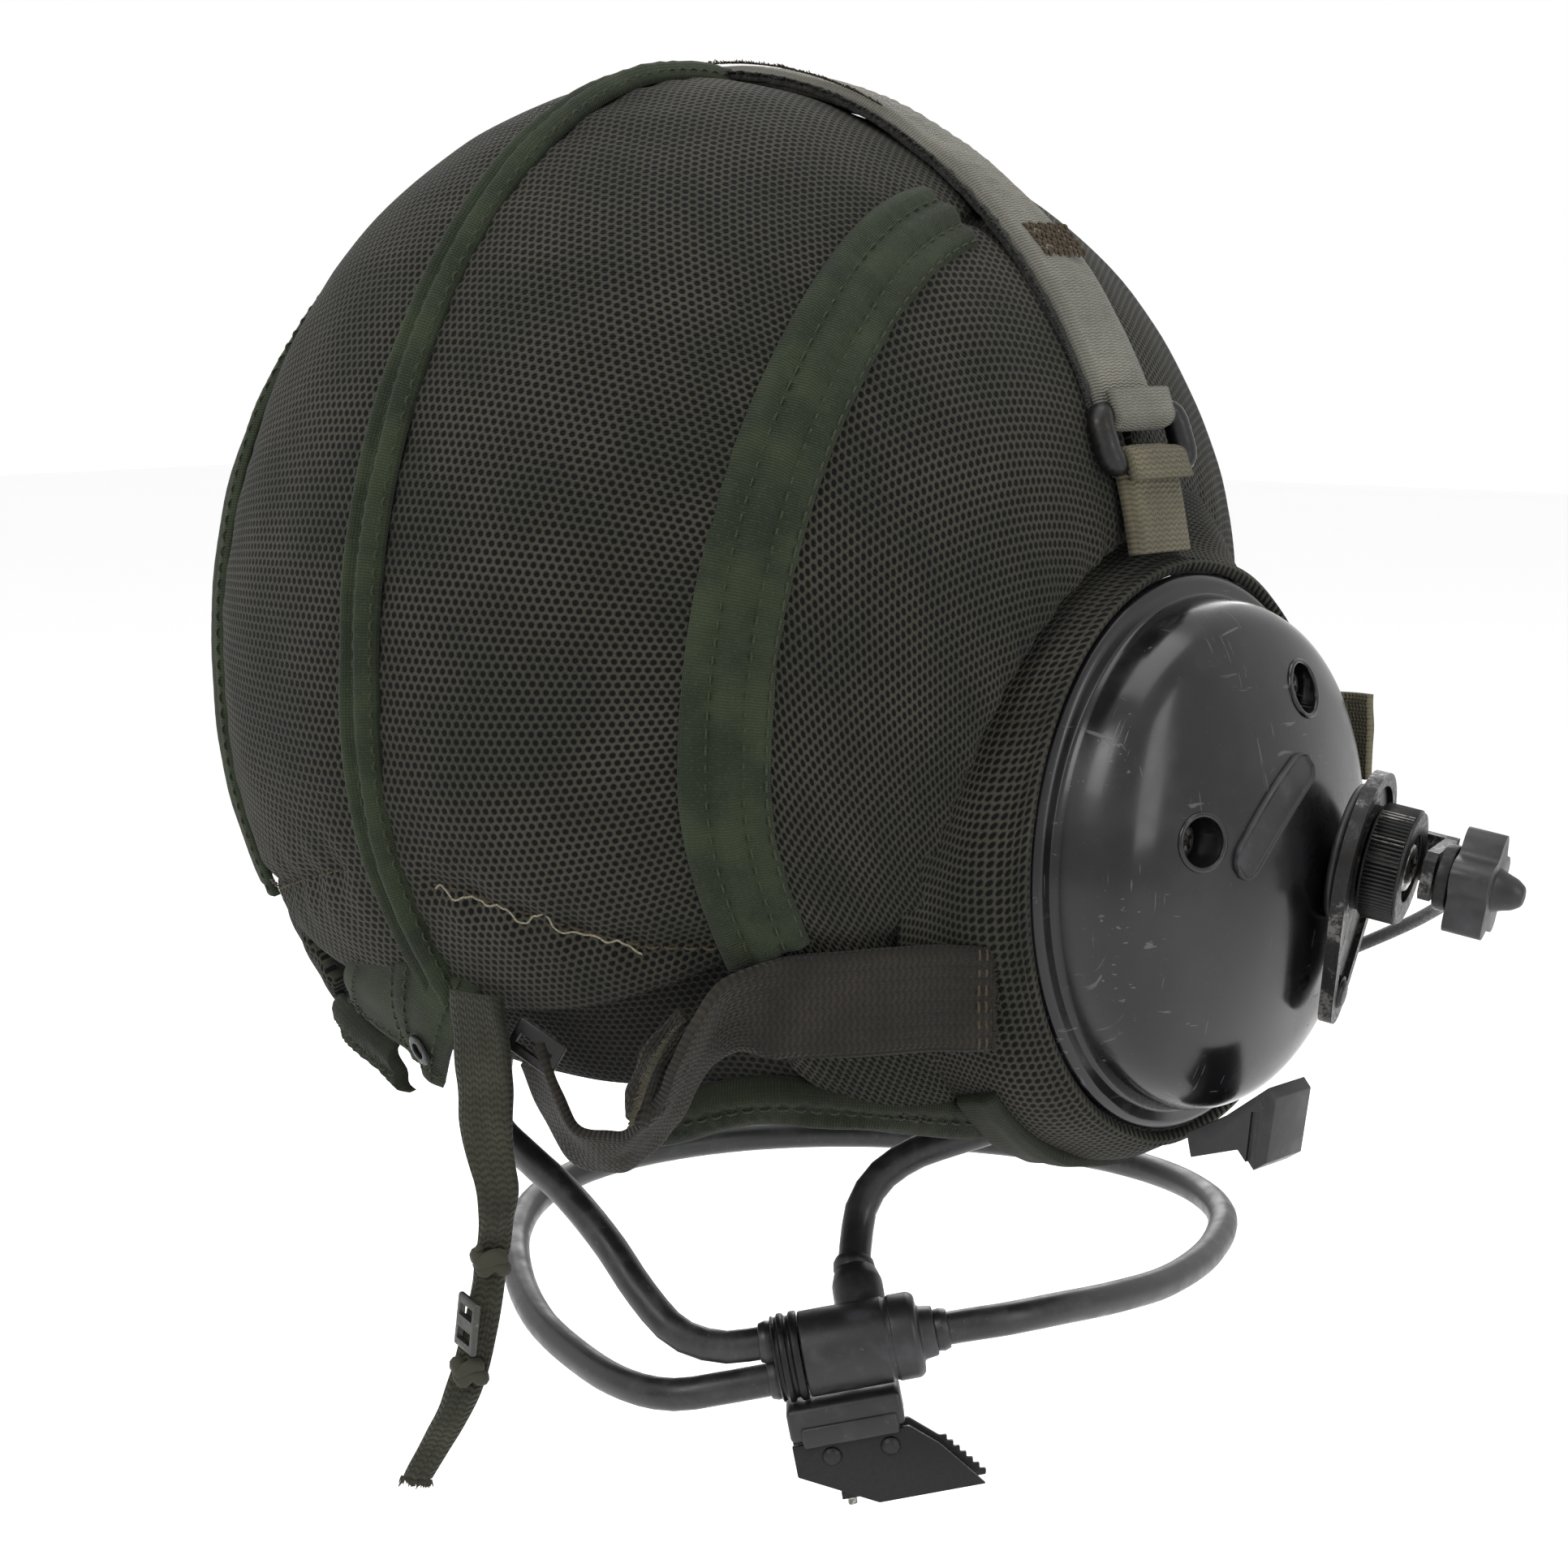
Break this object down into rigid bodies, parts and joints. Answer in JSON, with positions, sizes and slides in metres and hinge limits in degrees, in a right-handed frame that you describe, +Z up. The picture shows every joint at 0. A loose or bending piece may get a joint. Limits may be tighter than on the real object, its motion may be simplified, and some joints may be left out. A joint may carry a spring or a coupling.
{
  "type": "crewman radio headset",
  "caption": "Mesh skullcap carrying two oval ear cups, a boom microphone on a clamped pivot, a neck cord loop and a spring clothing clip.",
  "frame": {"origin": "midway between the ears, on the axis through both ear cups, where a head holds the headset", "axes": "+Z up, +X to the wearer's left, the wearer faces -Y"},
  "size_m": [0.2744, 0.2445, 0.268],
  "materials": {
    "spacer_mesh": "matte knitted spacer mesh",
    "green_tape": "matte folded tape",
    "webbing": "woven webbing",
    "dark_pad": "soft foam",
    "cup_shell": "glossy, scratched",
    "black_plastic": "satin moulded",
    "seal_skin": "soft skin over foam",
    "dark_metal": "blackened, worn at the edges",
    "steel": "plated",
    "cord_rubber": "satin"
  },
  "bodies": {
    "cap": {"panel_rear_left": "spacer_mesh", "panel_rear_right": "spacer_mesh", "panel_side_left": "spacer_mesh", "panel_side_right": "spacer_mesh", "panel_front_left": "spacer_mesh", "panel_front_right": "spacer_mesh", "ear_sleeve_left": "spacer_mesh", "ear_sleeve_right": "spacer_mesh", "centre_seam_binding": "green_tape", "seam_tape_left": "green_tape", "seam_tape_right": "green_tape", "hem_left": "green_tape", "hem_right": "green_tape", "front_hem_binding": "green_tape", "headband_strap": "webbing", "strap_loop_left": "webbing", "strap_loop_right": "webbing", "nape_strap": "webbing", "tail_strap": "webbing", "front_tab": "webbing", "crown_pad": "dark_pad", "nape_pad": "dark_pad", "foam_liner_left": "dark_pad", "foam_liner_right": "dark_pad", "ear_shell_left": "cup_shell", "ear_shell_right": "cup_shell", "seal_plate_left": "black_plastic", "seal_plate_right": "black_plastic", "lower_hook": "black_plastic", "junction_body": "black_plastic", "clip_mount": "black_plastic", "ear_seal_left": "seal_skin", "ear_seal_right": "seal_skin", "receiver_left": "dark_metal", "receiver_right": "dark_metal", "strap_buckle_left": "dark_metal", "strap_buckle_right": "dark_metal", "tail_buckle": "dark_metal", "pivot_hub": "dark_metal", "junction_collar": "dark_metal", "clip_front_jaw": "dark_metal", "cup_screw_rear_left": "steel", "cup_screw_rear_right": "steel", "cup_screw_front_left": "steel", "cup_screw_front_right": "steel", "knob_screw": "steel", "clip_pin": "steel", "clip_spring": "steel", "cable_gland_left": "cord_rubber", "cable_gland_right": "cord_rubber", "lead_left": "cord_rubber", "lead_right": "cord_rubber", "neck_loop": "cord_rubber"},
    "boom_bracket": {"boom_bracket": "dark_metal"},
    "knurled_knob": {"knurled_knob": "dark_metal"},
    "star_knob": {"star_knob": "black_plastic"},
    "boom_arm": {"boom_arm": "dark_metal"},
    "microphone": {"microphone": "black_plastic", "mic_windscreen": "dark_pad"},
    "clip_jaw": {"clip_rear_jaw": "dark_metal"}
  },
  "joints": [
    {"name": "boom_swing", "type": "hinge", "parent": "cap", "child": "boom_bracket", "pos_m": [-0.1241, -0.0174, -0.00007], "axis": [-0.9348, -0.3, -0.19], "range_deg": [-6, 28]},
    {"name": "pivot_knob_turn", "type": "hinge", "parent": "cap", "child": "knurled_knob", "pos_m": [-0.12915, -0.01902, -0.0011], "axis": [-0.9348, -0.3, -0.19], "range_deg": [-180, 180]},
    {"name": "star_knob_turn", "type": "hinge", "parent": "boom_bracket", "child": "star_knob", "pos_m": [-0.14383, -0.02373, -0.00408], "axis": [-0.9348, -0.3, -0.19], "range_deg": [-180, 180]},
    {"name": "boom_tilt", "type": "hinge", "parent": "boom_bracket", "child": "boom_arm", "pos_m": [-0.13878, -0.02211, -0.00305], "axis": [-0.9348, -0.3, -0.19], "range_deg": [-4, 12]},
    {"name": "mic_tilt", "type": "hinge", "parent": "boom_arm", "child": "microphone", "pos_m": [-0.048, -0.118, -0.046], "axis": [0, 0, 1], "range_deg": [-25, 35]},
    {"name": "clip_open", "type": "hinge", "parent": "cap", "child": "clip_jaw", "pos_m": [-0.05597, 0.04877, -0.11373], "axis": [0.1424, 0.1195, 0.9826], "range_deg": [0, 10], "stiffness_Nm_per_rad": 0.06, "springref_deg": -11.46}
  ]
}
